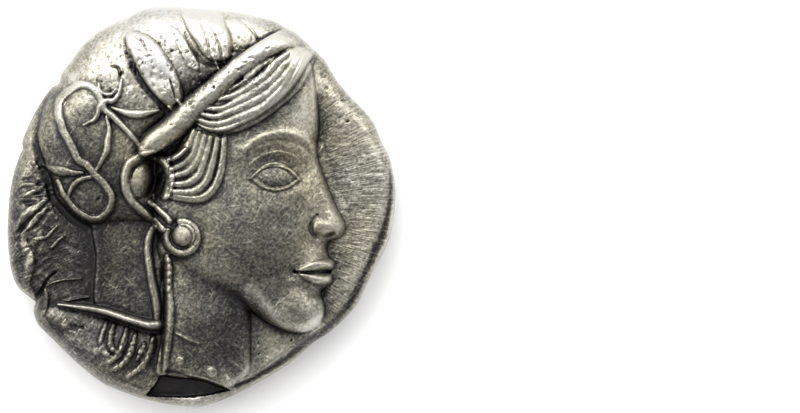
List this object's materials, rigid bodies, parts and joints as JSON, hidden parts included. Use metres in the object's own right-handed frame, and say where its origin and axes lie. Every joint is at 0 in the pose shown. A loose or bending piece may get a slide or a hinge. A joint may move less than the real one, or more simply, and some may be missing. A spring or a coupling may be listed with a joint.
{
  "type": "silver tetradrachm coin",
  "caption": "Thick hand-struck silver coin lying flat: helmeted head in high relief above, owl and olive sprig in a sunk square below.",
  "frame": {"origin": "centre of the coin's bounding box, on the table it lies on", "axes": "+Z out of the face with the head, +Y to the top of the head, +X the way the face looks"},
  "size_m": [0.0245, 0.0253, 0.006],
  "materials": {
    "silver": null
  },
  "bodies": {
    "root": {"coin": "silver"}
  },
  "joints": []
}
